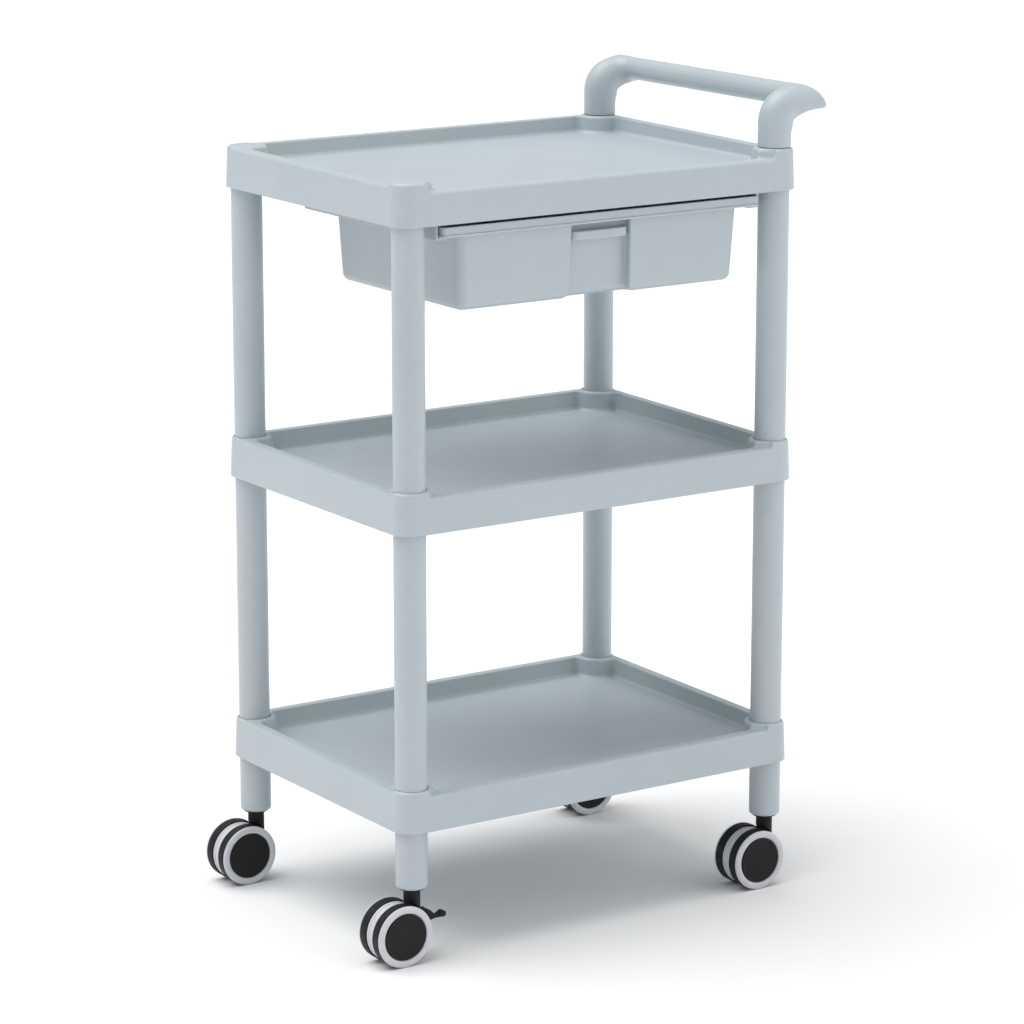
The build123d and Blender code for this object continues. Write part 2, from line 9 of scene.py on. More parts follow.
import bpy
import bmesh
import numpy as np
from mathutils import Euler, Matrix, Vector


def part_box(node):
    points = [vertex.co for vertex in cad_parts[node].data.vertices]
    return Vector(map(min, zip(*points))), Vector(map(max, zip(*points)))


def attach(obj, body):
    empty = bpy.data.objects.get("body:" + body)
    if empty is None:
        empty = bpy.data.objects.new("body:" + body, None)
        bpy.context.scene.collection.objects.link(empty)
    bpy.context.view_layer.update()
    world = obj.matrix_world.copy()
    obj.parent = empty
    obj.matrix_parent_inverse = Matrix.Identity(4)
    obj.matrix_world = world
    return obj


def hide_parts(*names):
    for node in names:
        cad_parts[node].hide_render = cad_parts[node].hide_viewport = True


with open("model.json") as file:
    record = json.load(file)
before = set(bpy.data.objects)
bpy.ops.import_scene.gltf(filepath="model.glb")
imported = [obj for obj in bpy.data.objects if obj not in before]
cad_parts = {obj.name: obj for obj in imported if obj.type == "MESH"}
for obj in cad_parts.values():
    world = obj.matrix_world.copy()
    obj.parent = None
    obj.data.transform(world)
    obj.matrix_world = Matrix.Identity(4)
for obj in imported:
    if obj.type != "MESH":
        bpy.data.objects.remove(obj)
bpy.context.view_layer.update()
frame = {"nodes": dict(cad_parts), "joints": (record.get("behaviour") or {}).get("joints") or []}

MM = 0.001

# ---- Sizes that the frame's boxes don't give ---------------------------------------------------
WALL = 3.0 * MM
SKIRT_SLOPE = math.tan(math.radians(2.4))     # the skirt leans inwards towards its top
DISH_SLOPE = math.tan(math.radians(9.0))      # the dish's walls lean outwards towards the rim
RIM_WIDTH = 16.0 * MM
BACK_RIM = 49.5 * MM                          # skirt bottom to the back rim
END_RIM = 46.5 * MM                           # end rims fall to this at the front corners
FRONT_RIM = 44.0 * MM
TOP_FRONT_RIM = 40.0 * MM
SHELF_FLOOR = 27.0 * MM                       # skirt bottom to the floor of a lower tray
TOP_FLOOR = 30.0 * MM
RIM_ROLL = 5.0 * MM                           # outer edge of the rims and raised corners
RIM_INNER_ROUND = 1.8 * MM
COLUMN_TOP_ROUND = 4.0 * MM
FLOOR_FILLET = 5.0 * MM
SKIRT_EDGE = 1.2 * MM                         # round at the bottom of the skirt
COLUMN_RADIUS = 26.0 * MM                     # corner column, seen from inside the dish
COLUMN_CREASE = 8.0 * MM
STEP_END = 180.0 * MM                         # end rims are lowered up to here, from the middle
STEP_SIDE = 249.6 * MM                        # front and back rims are lowered up to here
HOLE_GAP = 0.5 * MM                           # round each post in its tray
HOLE_MOUTH = 0.6 * MM                         # lead-in at the top of a hole
BOSS_WALL = 2.2 * MM                          # boss under each corner, round the post
RIB_HALF = 1.1 * MM
RIB_DEPTH = 11.0 * MM


# ---- Mesh building -----------------------------------------------------------------------------
def new_object(name, points, faces):
    """A mesh object whose faces all point outwards."""
    mesh = bpy.data.meshes.new(name)
    places = [tuple(map(float, p)) for p in points]
    mesh.from_pydata(places, [], [tuple(map(int, f)) for f in faces])
    shape = bmesh.new()
    shape.from_mesh(mesh)
    bmesh.ops.remove_doubles(shape, verts=shape.verts, dist=0.002 * MM)
    bmesh.ops.recalc_face_normals(shape, faces=shape.faces)
    shape.to_mesh(mesh)
    shape.free()
    piece = bpy.data.objects.new(name, mesh)
    bpy.context.scene.collection.objects.link(piece)
    return piece


def loft(rings, closed=False):
    """Points and faces of a skin over rings of equal length, capped at both ends unless closed."""
    count = len(rings[0])
    points = np.concatenate([np.asarray(ring, float) for ring in rings])
    faces = []
    spans = len(rings) if closed else len(rings) - 1
    for row in range(spans):
        low, high = row * count, (row + 1) % len(rings) * count
        for i in range(count):
            j = (i + 1) % count
            faces.append((low + i, low + j, high + j, high + i))
    if not closed:
        faces.append(tuple(range(count)))
        faces.append(tuple(range((len(rings) - 1) * count, len(rings) * count)))
    return points, faces


def merge(parts):
    """Several (points, faces) pairs as one."""
    points, faces, start = [], [], 0
    for part_points, part_faces in parts:
        points.append(np.asarray(part_points, float))
        faces += [tuple(start + i for i in face) for face in part_faces]
        start += len(part_points)
    return np.concatenate(points), faces


def rounded(corners, radii, inset=0.0, steps=4):
    """A counter-clockwise outline drawn in by an inset, with its corners rounded by arcs."""
    corners = np.asarray(corners, float)
    count = len(corners)
    edge = np.roll(corners, -1, 0) - corners
    edge /= np.linalg.norm(edge, axis=1)[:, None]
    inward = np.stack([-edge[:, 1], edge[:, 0]], 1)
    outline = []
    for i in range(count):
        before, after = edge[i - 1], edge[i]
        turn = math.atan2(before[0] * after[1] - before[1] * after[0], before @ after)
        if abs(turn) < 0.001:
            middle = corners[i] + inset * inward[i]
            outline += [middle + after * radii[i] * s for s in np.linspace(-1, 1, steps + 1)]
            continue
        mitre = (inward[i - 1] + inward[i]) / (1 + inward[i - 1] @ inward[i])
        corner = corners[i] + inset * mitre
        side = 1 if turn > 0 else -1
        radius = max(radii[i] - side * inset, 0.15 * MM)
        reach = radius * math.tan(abs(turn) / 2)
        centre = corner - before * reach + side * radius * np.array([-before[1], before[0]])
        start = math.atan2(-side * before[0], side * before[1])
        for s in np.linspace(0, 1, steps + 1):
            angle = start + s * turn
            outline.append(centre + radius * np.array([math.cos(angle), math.sin(angle)]))
    return np.array(outline)


def level(outline, height):
    """A plan outline at a height, which is one number or one for each point."""
    return np.column_stack([outline, np.broadcast_to(height, len(outline))])


def turned_rings(profile, segments):
    """One circle of points about Z for each (radius, height) of a profile."""
    angles = np.linspace(0, 2 * math.pi, segments, endpoint=False)
    return [np.column_stack([
        radius * np.cos(angles), radius * np.sin(angles), np.full(segments, height)])
        for radius, height in profile]


def turned(profile, segments=96):
    """A solid turned about Z from an open (radius, height) profile, closed by flat ends."""
    return loft(turned_rings([point for point in profile if point[0] > 0], segments))


def turned_ring(profile, segments=96):
    """A ring turned about Z from a closed (radius, height) profile."""
    return loft(turned_rings(profile, segments), closed=True)


def moved(part, offset):
    """A (points, faces) pair moved by an offset."""
    return part[0] + np.asarray(offset, float), part[1]


def edge_round(radius, steps, start=0.0):
    """Pairs (inset, drop) over a rounded edge, from the side of the piece to its flat."""
    turns = np.linspace(math.radians(start), math.pi / 2, steps + 1)
    return [(radius * (1 - math.cos(turn)), radius * (1 - math.sin(turn))) for turn in turns]


def combine(target, others, operation):
    """Boolean of target with other (points, faces) pairs, applied to target's mesh."""
    tool = new_object("tool", *merge(others))
    step = target.modifiers.new("combine", "BOOLEAN")
    step.object = tool
    step.operation = operation
    step.solver = "EXACT"
    step.use_self = True
    depsgraph = bpy.context.evaluated_depsgraph_get()
    result = bpy.data.meshes.new_from_object(target.evaluated_get(depsgraph))
    target.modifiers.clear()
    target.data = result
    bpy.data.objects.remove(tool)


def finish_piece(piece, body, nodes, slot, material, sharp=35.0):
    """Shade, paint and attach a piece that stands for CAD nodes."""
    piece.data.shade_smooth()
    piece.data.set_sharp_from_angle(angle=math.radians(sharp))
    weigh = piece.modifiers.new("normals", "WEIGHTED_NORMAL")
    weigh.keep_sharp = True
    piece.data.materials.clear()
    piece.data.materials.append(material)
    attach(piece, body)
    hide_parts(*nodes)
    return piece


# ---- Moulded shapes from a distance field ------------------------------------------------------
def soft_union(a, b, blend):
    """Union of two distance fields with a fillet."""
    h = np.clip(0.5 + 0.5 * (b - a) / blend, 0, 1)
    return b * (1 - h) + a * h - blend * h * (1 - h)


def soft_cut(a, b, blend):
    """Intersection of two distance fields with a rounded edge."""
    return -soft_union(-a, -b, blend)


def polygon_distance(points, x, y):
    """Signed distance to a closed polygon, negative inside."""
    distance = np.full(np.broadcast(x, y).shape, np.inf)
    inside = np.zeros(distance.shape, bool)
    for (ax, ay), (bx, by) in zip(points, np.roll(points, -1, 0)):
        ex, ey = bx - ax, by - ay
        t = np.clip(((x - ax) * ex + (y - ay) * ey) / (ex * ex + ey * ey), 0, 1)
        distance = np.minimum(distance, np.hypot(x - ax - t * ex, y - ay - t * ey))
        crossing = ((ay > y) != (by > y)) & (x < ex * (y - ay) / (ey if ey else 1e-12) + ax)
        inside ^= crossing
    return np.where(inside, -distance, distance)


def sample(field, points):
    """Trilinear reading of a field at points given in cells."""
    base = np.clip(np.floor(points).astype(int), 0, np.array(field.shape) - 2)
    part = points - base
    total = 0.0
    for corner in np.ndindex(2, 2, 2):
        weight = np.prod(np.where(corner, part, 1 - part), axis=1)
        total = total + weight * field[tuple((base + corner).T)]
    return total


def relaxed(points, faces, field, rounds):
    """Points evened out over the mesh and pulled back onto the field's surface each time."""
    slopes = np.gradient(field)
    for _ in range(rounds):
        sums = np.zeros_like(points)
        hits = np.zeros(len(points))
        for a, b in ((0, 1), (1, 2), (2, 3), (3, 0)):
            np.add.at(sums, faces[:, a], points[faces[:, b]])
            np.add.at(hits, faces[:, a], 1)
        points = 0.5 * points + 0.5 * sums / hits[:, None]
        gradient = np.stack([sample(s, points) for s in slopes], 1)
        length = np.sum(gradient ** 2, 1)
        points -= gradient * (sample(field, points) / np.maximum(length, 1e-12))[:, None]
    return points


def skin(field, low, step, relax=3):
    """Points and faces of a distance field's surface, by naive surface nets."""
    cells = tuple(n - 1 for n in field.shape)
    total = np.zeros(cells + (3,))
    count = np.zeros(cells)
    crossings = []
    for axis in range(3):
        first = np.take(field, range(field.shape[axis] - 1), axis)
        second = np.take(field, range(1, field.shape[axis]), axis)
        places = np.argwhere((first < 0) != (second < 0))
        values = tuple(places.T)
        along = first[values] / (first[values] - second[values])
        point = places.astype(float)
        point[:, axis] += along
        u, v = [a for a in range(3) if a != axis]
        for du in (0, 1):
            for dv in (0, 1):
                cell = places.copy()
                cell[:, u] -= du
                cell[:, v] -= dv
                np.add.at(total, tuple(cell.T), point)
                np.add.at(count, tuple(cell.T), 1)
        crossings.append((places, u, v, (first[values] < 0) == (axis != 1)))
    number = np.full(cells, -1)
    used = count > 0
    number[used] = np.arange(used.sum())
    points = total[used] / count[used][:, None]
    faces = []
    for places, u, v, forward in crossings:
        quad = []
        for du, dv in ((0, 0), (1, 0), (1, 1), (0, 1)):
            cell = places.copy()
            cell[:, u] -= du
            cell[:, v] -= dv
            quad.append(number[tuple(cell.T)])
        quad = np.stack(quad, 1)
        quad[~forward] = quad[~forward][:, ::-1]
        faces.append(quad)
    faces = np.concatenate(faces)
    points = relaxed(points, faces, field, relax)
    return points * step + np.asarray(low, float), [tuple(face) for face in faces]


def grid(low, high, step):
    """Coordinate arrays over a box, shaped to broadcast to its grid."""
    axes = [np.arange(a, b + step, step) for a, b in zip(low, high)]
    return np.meshgrid(*axes, indexing="ij", sparse=True)


# ---- Materials ---------------------------------------------------------------------------------
class Nodes:
    """Short calls for building a material's node tree."""

    def __init__(self, name):
        self.material = bpy.data.materials.new(name)
        self.material.use_nodes = True
        self.tree = self.material.node_tree
        self.shader = self.tree.nodes["Principled BSDF"]
        self.place = self.add("ShaderNodeTexCoord").outputs["Object"]

    def add(self, kind, **settings):
        node = self.tree.nodes.new(kind)
        for key, value in settings.items():
            setattr(node, key, value)
        return node

    def link(self, source, target):
        self.tree.links.new(source, target)

    def noise(self, scale, detail=2.0, roughness=0.5, stretch=None):
        node = self.add("ShaderNodeTexNoise")
        node.inputs["Scale"].default_value = scale
        node.inputs["Detail"].default_value = detail
        node.inputs["Roughness"].default_value = roughness
        source = self.place
        if stretch:
            mapping = self.add("ShaderNodeMapping")
            mapping.inputs["Scale"].default_value = stretch
            self.link(source, mapping.inputs["Vector"])
            source = mapping.outputs["Vector"]
        self.link(source, node.inputs["Vector"])
        return node.outputs["Fac"]

    def ramp(self, source, low, high, out_low, out_high):
        node = self.add("ShaderNodeMapRange", interpolation_type="SMOOTHSTEP")
        node.inputs["From Min"].default_value = low
        node.inputs["From Max"].default_value = high
        node.inputs["To Min"].default_value = out_low
        node.inputs["To Max"].default_value = out_high
        self.link(source, node.inputs["Value"])
        return node.outputs["Result"]

    def mix(self, share, first, second):
        node = self.add("ShaderNodeMix", data_type="RGBA")
        self.link(share, node.inputs["Factor"])
        for value, name in ((first, 6), (second, 7)):
            if isinstance(value, tuple):
                node.inputs[name].default_value = (*value, 1.0)
            else:
                self.link(value, node.inputs[name])
        return node.outputs[2]

    def bump(self, source, strength, depth, before=None):
        node = self.add("ShaderNodeBump")
        node.inputs["Strength"].default_value = strength
        node.inputs["Distance"].default_value = depth
        self.link(source, node.inputs["Height"])
        if before is not None:
            self.link(before, node.inputs["Normal"])
        return node.outputs["Normal"]

    def edges(self):
        """How much a place is on a convex edge, from 0 to 1."""
        pointiness = self.add("ShaderNodeNewGeometry").outputs["Pointiness"]
        return self.ramp(pointiness, 0.5, 0.58, 0.0, 1.0)


def moulded(name, colour, shade, edge, roughness, grain, sheen=0.5):
    """Moulded plastic: fine spark-eroded grain, faint flow tone, and a painted highlight that makes
    convex edges paler in noisy patches.
    """
    n = Nodes(name)
    tone = n.ramp(n.noise(5.0, 3.0), 0.3, 0.7, 0.0, 1.0)
    fine = n.noise(1500.0, 2.0, 0.6)
    body = n.mix(tone, colour, shade)
    speck = n.ramp(fine, 0.35, 0.75, 0.0, 0.35)
    body = n.mix(speck, body, shade)
    # Painted highlight: convex edges, found by pointiness, are mixed towards the paler edge colour
    # in noisy patches.
    edge_highlight = n.add("ShaderNodeMath", operation="MULTIPLY")
    n.link(n.edges(), edge_highlight.inputs[0])
    n.link(n.ramp(n.noise(60.0, 4.0), 0.35, 0.7, 0.15, 0.7), edge_highlight.inputs[1])
    n.link(n.mix(edge_highlight.outputs[0], body, edge), n.shader.inputs["Base Color"])
    rough = n.ramp(n.noise(14.0, 4.0), 0.25, 0.75, roughness - 0.05, roughness + 0.06)
    n.link(rough, n.shader.inputs["Roughness"])
    n.shader.inputs["Specular IOR Level"].default_value = sheen
    broad = n.bump(n.noise(9.0, 2.0), 0.25, 0.6 * MM)
    n.link(n.bump(fine, grain, 0.12 * MM, broad), n.shader.inputs["Normal"])
    return n.material


def rubber(name, colour, dusty):
    """Tread rubber: near-black, with fine scuffs round the wheel and a little dust."""
    n = Nodes(name)
    dust = n.ramp(n.noise(90.0, 5.0, 0.65), 0.52, 0.8, 0.0, 0.35)
    n.link(n.mix(dust, colour, dusty), n.shader.inputs["Base Color"])
    n.link(n.ramp(n.noise(160.0, 3.0), 0.3, 0.7, 0.5, 0.66), n.shader.inputs["Roughness"])
    n.shader.inputs["Specular IOR Level"].default_value = 0.3
    n.link(n.bump(n.noise(900.0, 3.0), 0.3, 0.15 * MM), n.shader.inputs["Normal"])
    return n.material


def plated(name, colour):
    """Zinc-plated steel with drawn lines."""
    n = Nodes(name)
    lines = n.noise(500.0, 3.0, 0.6, stretch=(1.0, 0.06, 1.0))
    n.link(n.mix(lines, colour, tuple(0.8 * c for c in colour)), n.shader.inputs["Base Color"])
    n.shader.inputs["Metallic"].default_value = 1.0
    n.link(n.ramp(lines, 0.3, 0.7, 0.24, 0.42), n.shader.inputs["Roughness"])
    n.link(n.bump(lines, 0.15, 0.05 * MM), n.shader.inputs["Normal"])
    return n.material


# The third colour of each plastic is the paler colour of its painted edge highlight.
CART = moulded("cart_plastic", (0.460, 0.519, 0.553), (0.441, 0.501, 0.536), (0.545, 0.60, 0.635),
               0.38, 0.22)
GREY = moulded("wheel_grey_plastic", (0.60, 0.61, 0.64), (0.57, 0.58, 0.61), (0.68, 0.69, 0.72),
               0.36, 0.15)
BLACK = moulded("caster_black_plastic", (0.0042, 0.0043, 0.0046), (0.0034, 0.0034, 0.0036),
                (0.012, 0.012, 0.0125), 0.55, 0.3, 0.3)
TREAD = rubber("tread_rubber", (0.006, 0.006, 0.0065), (0.018, 0.018, 0.0185))
STEEL = plated("steel", (0.62, 0.62, 0.63))


# ---- Trays -------------------------------------------------------------------------------------
tray_low, tray_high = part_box("bottom_tray")
TRAY_X = (tray_low.x + tray_high.x) / 2
HALF_LENGTH = (tray_high.x - tray_low.x) / 2
HALF_WIDTH = (tray_high.y - tray_low.y) / 2
CORNER_HEIGHT = tray_high.z - tray_low.z
leg_low, leg_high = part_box("leg_back_right")
POST_RADIUS = (leg_high.x - leg_low.x) / 2
POST_X = (leg_high.x + leg_low.x) / 2 - TRAY_X
POST_Y = (leg_high.y + leg_low.y) / 2
CORNER_ROUND = HALF_WIDTH - POST_Y
CORNERS = {"front_left": (-1, -1), "front_right": (1, -1),
           "back_left": (-1, 1), "back_right": (1, 1)}
BRAKED = ("front_left", "back_right")

# A quarter of the tray's outline runs from the middle of an end to the middle of a side. Its
# stations: the end wall, a step group, the raised corner, a step group, the side wall. In a step
# group the rim climbs to the corner's height: GROUP_REACH is the way along the skirt from the
# step's middle, GROUP_TURN the share of the crease's arc in the dish, and the rises are shares of
# the climb, gentle on the ends and steep on the front and back.
WALL_SHARES = np.array([0.0, 0.3, 0.55, 0.75, 0.9])
GROUP_TURN = np.array([0.0, 0.13, 0.27, 0.4, 0.46, 0.5, 0.54, 0.6, 0.73, 0.87, 1.0])
SIDE_RISE = np.array([0.0, 0.0, 0.03, 0.16, 0.31, 0.5, 0.69, 0.84, 0.97, 1.0, 1.0])
END_RISE = np.array([0.0, 0.05, 0.17, 0.33, 0.41, 0.5, 0.59, 0.67, 0.83, 0.95, 1.0])
GROUP_REACH = np.array([-6.0, -4.0, -2.4, -1.2, -0.6, 0.0, 0.6, 1.2, 2.4, 4.0, 6.0]) * MM
CORNER_STATIONS = 24


def dish_quarter(inset):
    """Dish outline of a quarter, drawn in by an inset: wall, crease, column, crease, wall."""
    wall_x = HALF_LENGTH - RIM_WIDTH - inset
    wall_y = HALF_WIDTH - RIM_WIDTH - inset
    radius = COLUMN_RADIUS + inset
    crease = max(COLUMN_CREASE - inset, 1.0 * MM)
    reach = radius + crease
    end_y = POST_Y - math.sqrt(reach ** 2 - (wall_x - crease - POST_X) ** 2)
    side_x = POST_X - math.sqrt(reach ** 2 - (wall_y - crease - POST_Y) ** 2)
    end_centre = np.array([wall_x - crease, end_y])
    side_centre = np.array([side_x, wall_y - crease])
    column = np.array([POST_X, POST_Y])
    end_turn = math.atan2(*(column - end_centre)[::-1])
    side_turn = math.atan2(*(column - side_centre)[::-1])
    points = [(wall_x, share * end_y) for share in WALL_SHARES]
    for share in GROUP_TURN:
        angle = share * end_turn
        points.append(end_centre + crease * np.array([math.cos(angle), math.sin(angle)]))
    sweep = side_turn - end_turn
    if sweep >= 0:
        sweep -= 2 * math.pi
    for share in np.linspace(0, 1, CORNER_STATIONS + 2)[1:-1]:
        angle = end_turn - math.pi + share * sweep
        points.append(column + radius * np.array([math.cos(angle), math.sin(angle)]))
    for share in GROUP_TURN:
        angle = side_turn + share * (math.pi / 2 - side_turn)
        points.append(side_centre + crease * np.array([math.cos(angle), math.sin(angle)]))
    points += [(share * side_x, wall_y) for share in WALL_SHARES[::-1]]
    return np.array([tuple(p) for p in points])


ARC = math.pi / 2 * CORNER_ROUND
STEP_A = STEP_END
STEP_B = POST_Y + ARC + POST_X - STEP_SIDE
QUARTER = POST_Y + ARC + POST_X
PATH = np.concatenate([
    WALL_SHARES * (STEP_A + GROUP_REACH[0]),
    STEP_A + GROUP_REACH,
    np.linspace(STEP_A + GROUP_REACH[-1], STEP_B + GROUP_REACH[0], CORNER_STATIONS + 2)[1:-1],
    STEP_B + GROUP_REACH,
    QUARTER - WALL_SHARES[::-1] * (QUARTER - STEP_B - GROUP_REACH[-1]),
])
FLAT = np.zeros(len(WALL_SHARES))
RAISE = np.concatenate([FLAT, END_RISE, np.ones(CORNER_STATIONS), SIDE_RISE[::-1], FLAT])


def skirt_quarter(inset):
    """Skirt outline of a quarter, drawn in by an inset, at the same stations."""
    points = []
    radius = CORNER_ROUND - inset
    for s in PATH:
        if s < POST_Y:
            points.append((HALF_LENGTH - inset, s))
        elif s < POST_Y + ARC:
            angle = (s - POST_Y) / CORNER_ROUND
            points.append((POST_X + radius * math.cos(angle), POST_Y + radius * math.sin(angle)))
        else:
            points.append((QUARTER - s, HALF_WIDTH - inset))
    return np.array(points)


def whole(quarter_points):
    """The full outline from a quarter, counter-clockwise, without doubled points."""
    first = quarter_points[:-1]
    second = quarter_points[:0:-1] * (-1, 1)
    third = -quarter_points[:-1]
    fourth = quarter_points[:0:-1] * (1, -1)
    return np.concatenate([first, second, third, fourth])


def around(back, front):
    """Values at every station of the outline, from those of a back and a front quarter."""
    return np.concatenate([back[:-1], back[:0:-1], front[:-1], front[:0:-1]])


def rim_heights(front_rim):
    """Height of the rim above the skirt's bottom, at every station."""
    stations = np.arange(len(PATH))
    along_end = stations < len(PATH) // 2
    middle = (END_RIM + BACK_RIM) / 2
    to_corner = np.clip(PATH / STEP_END, 0, 1)
    parts = []
    for near, side_rim in ((BACK_RIM, BACK_RIM), (END_RIM, front_rim)):
        rim = np.where(along_end, middle + (near - middle) * to_corner, side_rim)
        parts.append(rim + (CORNER_HEIGHT - rim) * RAISE)
    return around(*parts)


def varied(outline_at, insets):
    """Outline whose inset differs from station to station, by blending its extreme outlines."""
    low, high = float(np.min(insets)), float(np.max(insets))
    if high - low < 1e-9:
        return whole(outline_at(low))
    share = ((insets - low) / (high - low))[:, None]
    return whole(outline_at(low)) * (1 - share) + whole(outline_at(high)) * share


def wall_inset(height):
    """How far the dish's wall is drawn in at a height, from where it would meet the rim."""
    return (CORNER_HEIGHT + 1.0 * MM - height) * DISH_SLOPE


def skirt_inset(height):
    """How far the skirt is drawn in at a height."""
    return height * SKIRT_SLOPE


def dish_rings(top, floor):
    """Floor fillet, dish wall and the inner edge of the rim."""
    rings = []
    for inset, drop in edge_round(FLOOR_FILLET, 6, 9.0)[::-1]:
        inset += wall_inset(floor + FLOOR_FILLET)
        rings.append(level(whole(dish_quarter(inset)), floor + drop))
    inner_round = RIM_INNER_ROUND + (COLUMN_TOP_ROUND - RIM_INNER_ROUND) * around(RAISE, RAISE)
    for inset, drop in edge_round(inner_round, 5):
        inset = wall_inset(top - inner_round) - inset
        rings.append(level(varied(dish_quarter, inset), top - drop))
    return rings


def skirt_rings(top):
    """Outer roll of the rim, the skirt and its lower edge."""
    rings = []
    for inset, drop in edge_round(RIM_ROLL, 7)[::-1]:
        inset = skirt_inset(top - RIM_ROLL) + inset
        rings.append(level(varied(skirt_quarter, inset), top - drop))
    for inset, drop in edge_round(SKIRT_EDGE, 3):
        rings.append(level(whole(skirt_quarter(skirt_inset(SKIRT_EDGE) + inset)), drop))
    return rings


def under_rings(top, floor):
    """Inner side of the skirt, the underside of the rim and the underside of the dish."""
    under_rim = top - 1.4 * WALL
    return [level(whole(skirt_quarter(WALL)), 0.0),
            level(varied(skirt_quarter, skirt_inset(under_rim) + WALL), under_rim),
            level(varied(dish_quarter, wall_inset(under_rim) - WALL), under_rim),
            level(whole(dish_quarter(wall_inset(floor) - WALL)), floor - WALL)]


def tray_shell(front_rim, floor):
    """The tray's skin from the middle of its floor over the rim and back under the floor."""
    top = rim_heights(front_rim)
    dish, skirt = dish_rings(top, floor), skirt_rings(top)
    inner, outer = dish[-1], skirt[0]
    rim = [inner * (1 - share) + outer * share for share in (0.25, 0.5, 0.75)]
    return loft(dish + rim + skirt + under_rings(top, floor))


def bar(low, high, round_edge=0.5 * MM):
    """A box with softened upright edges."""
    corners = [(low[0], low[1]), (high[0], low[1]), (high[0], high[1]), (low[0], high[1])]
    rings = [level(rounded(corners, [round_edge] * 4, steps=2), z) for z in (low[2], high[2])]
    return loft(rings)


def tray_boss():
    """Solid boss that stiffens a corner round its post."""
    radius = POST_RADIUS + BOSS_WALL
    edge = 0.8 * MM
    top = CORNER_HEIGHT - WALL
    return turned([(0, edge), (radius - edge, edge), (radius, 2 * edge), (radius, top),
                   (0, top)], 64)


def post_hole(through):
    """Cutter for a post: right through with a lead-in, or a socket from below."""
    hole = POST_RADIUS + HOLE_GAP
    mouth = hole + HOLE_MOUTH
    ends = [(hole, CORNER_HEIGHT / 2), (0, CORNER_HEIGHT / 2)]
    if through:
        ends = [(hole, CORNER_HEIGHT - 2.2 * MM), (hole + 0.3 * MM, CORNER_HEIGHT - 1.0 * MM),
                (mouth, CORNER_HEIGHT), (mouth + 0.6 * MM, CORNER_HEIGHT + 0.4 * MM),
                (0, CORNER_HEIGHT + 0.4 * MM)]
    return turned([(0, -1 * MM), (hole, -1 * MM)] + ends, 96)


def tray_ribs(floor):
    """Ribs under the floor, three along the tray and five across."""
    top = floor - WALL / 2
    bottom = floor - WALL - RIB_DEPTH
    reach_x = HALF_LENGTH - 1.5 * WALL
    reach_y = HALF_WIDTH - 1.5 * WALL
    apart = 0.01 * MM
    along = [bar((-reach_x, y - RIB_HALF, bottom), (reach_x, y + RIB_HALF, top))
             for y in (-110 * MM, 0, 110 * MM)]
    across = [bar((x - RIB_HALF, -reach_y, bottom + apart), (x + RIB_HALF, reach_y, top + apart))
              for x in (-200 * MM, -100 * MM, 0, 100 * MM, 200 * MM)]
    return along + across


def tray(name, front_rim, floor, through):
    """One tray: lofted shell, corner bosses, ribs, and holes where posts stand in it."""
    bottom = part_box(name)[0].z
    origin = (TRAY_X, 0, bottom)
    piece = new_object("tray_" + name.split("_")[0], *moved(tray_shell(front_rim, floor), origin))
    places = [(TRAY_X + x * POST_X, y * POST_Y, bottom) for x, y in CORNERS.values()]
    added = [moved(tray_boss(), place) for place in places]
    added += [moved(rib, origin) for rib in tray_ribs(floor)]
    combine(piece, added, "UNION")
    combine(piece, [moved(post_hole(through), place) for place in places], "DIFFERENCE")
    return finish_piece(piece, "cart_frame", [name], "cart_plastic", CART, 30.0)


def trays():
    """The three shelves; nothing comes up through the top tray's corners."""
    tray("bottom_tray", FRONT_RIM, SHELF_FLOOR, True)
    tray("middle_tray", FRONT_RIM, SHELF_FLOOR, True)
    tray("top_tray", TOP_FRONT_RIM, TOP_FLOOR, False)


# ---- Posts and legs ----------------------------------------------------------------------------
def tube_profile(low, high, radius, low_round, high_round):
    """Side of a closed upright cylinder with rounded ends."""
    foot = [(radius - inset, low + drop) for inset, drop in edge_round(low_round, 5)[::-1]]
    head = [(radius - inset, high - drop) for inset, drop in edge_round(high_round, 3)]
    return [(0, low)] + foot + head + [(0, high)]


def upright(name, low_round, high_round):
    """A post or leg as a turned tube that stands where its CAD node stands."""
    low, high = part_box(name)
    profile = tube_profile(low.z, high.z, (high.x - low.x) / 2, low_round, high_round)
    centre = ((low.x + high.x) / 2, (low.y + high.y) / 2, 0)
    piece = new_object("round_" + name, *moved(turned(profile, 96), centre))
    return finish_piece(piece, "cart_frame", [name], "cart_plastic", CART)


def uprights():
    """Eight posts and four legs."""
    for corner in CORNERS:
        upright(f"lower_post_{corner}", 1 * MM, 1 * MM)
        upright(f"upper_post_{corner}", 1 * MM, 1 * MM)
        upright(f"leg_{corner}", 3.5 * MM, 1 * MM)


# ---- Push handle -------------------------------------------------------------------------------
RISER_RADIUS = 20.4 * MM
BEND_START = 30.0 * MM
BEND_RADIUS = 22.2 * MM
WEB_HALF = 13.0 * MM                          # web that rounds off the inside of the elbow
WEB_ROUND = 12.0 * MM
WEB_FILLET = 7.0 * MM
GRIP_END = 9.0 * MM                           # past the riser's axis
GRIP_ROUND = 16.0 * MM
GRIP_FILLET = 13.0 * MM                       # where the grip runs into the arms


